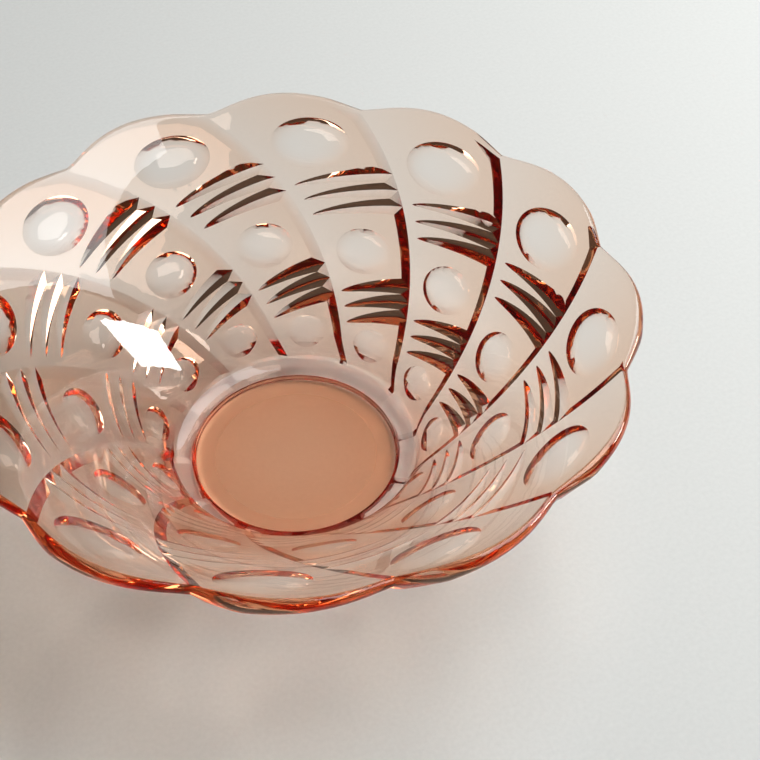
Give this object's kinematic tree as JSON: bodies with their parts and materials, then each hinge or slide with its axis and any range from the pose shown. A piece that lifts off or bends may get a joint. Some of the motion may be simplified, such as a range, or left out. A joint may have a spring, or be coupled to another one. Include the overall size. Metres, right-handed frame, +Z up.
{
  "type": "swirled glass bowl",
  "caption": "Open bowl of pressed pink glass with a scalloped rim, overlapping swirled panels cut with lenses and grooves, and a flat foot, for sweets, fruit or display.",
  "frame": {"origin": "centre of the foot's underside, on the table", "axes": "+Z up along the bowl's axis; +X runs through a notch of the rim"},
  "size_m": [0.2078, 0.2078, 0.0706],
  "materials": {
    "glass": "pressed soda-lime glass, tinted pink through its thickness, fire-polished smooth"
  },
  "bodies": {
    "root": {"bowl": "glass"}
  },
  "joints": []
}
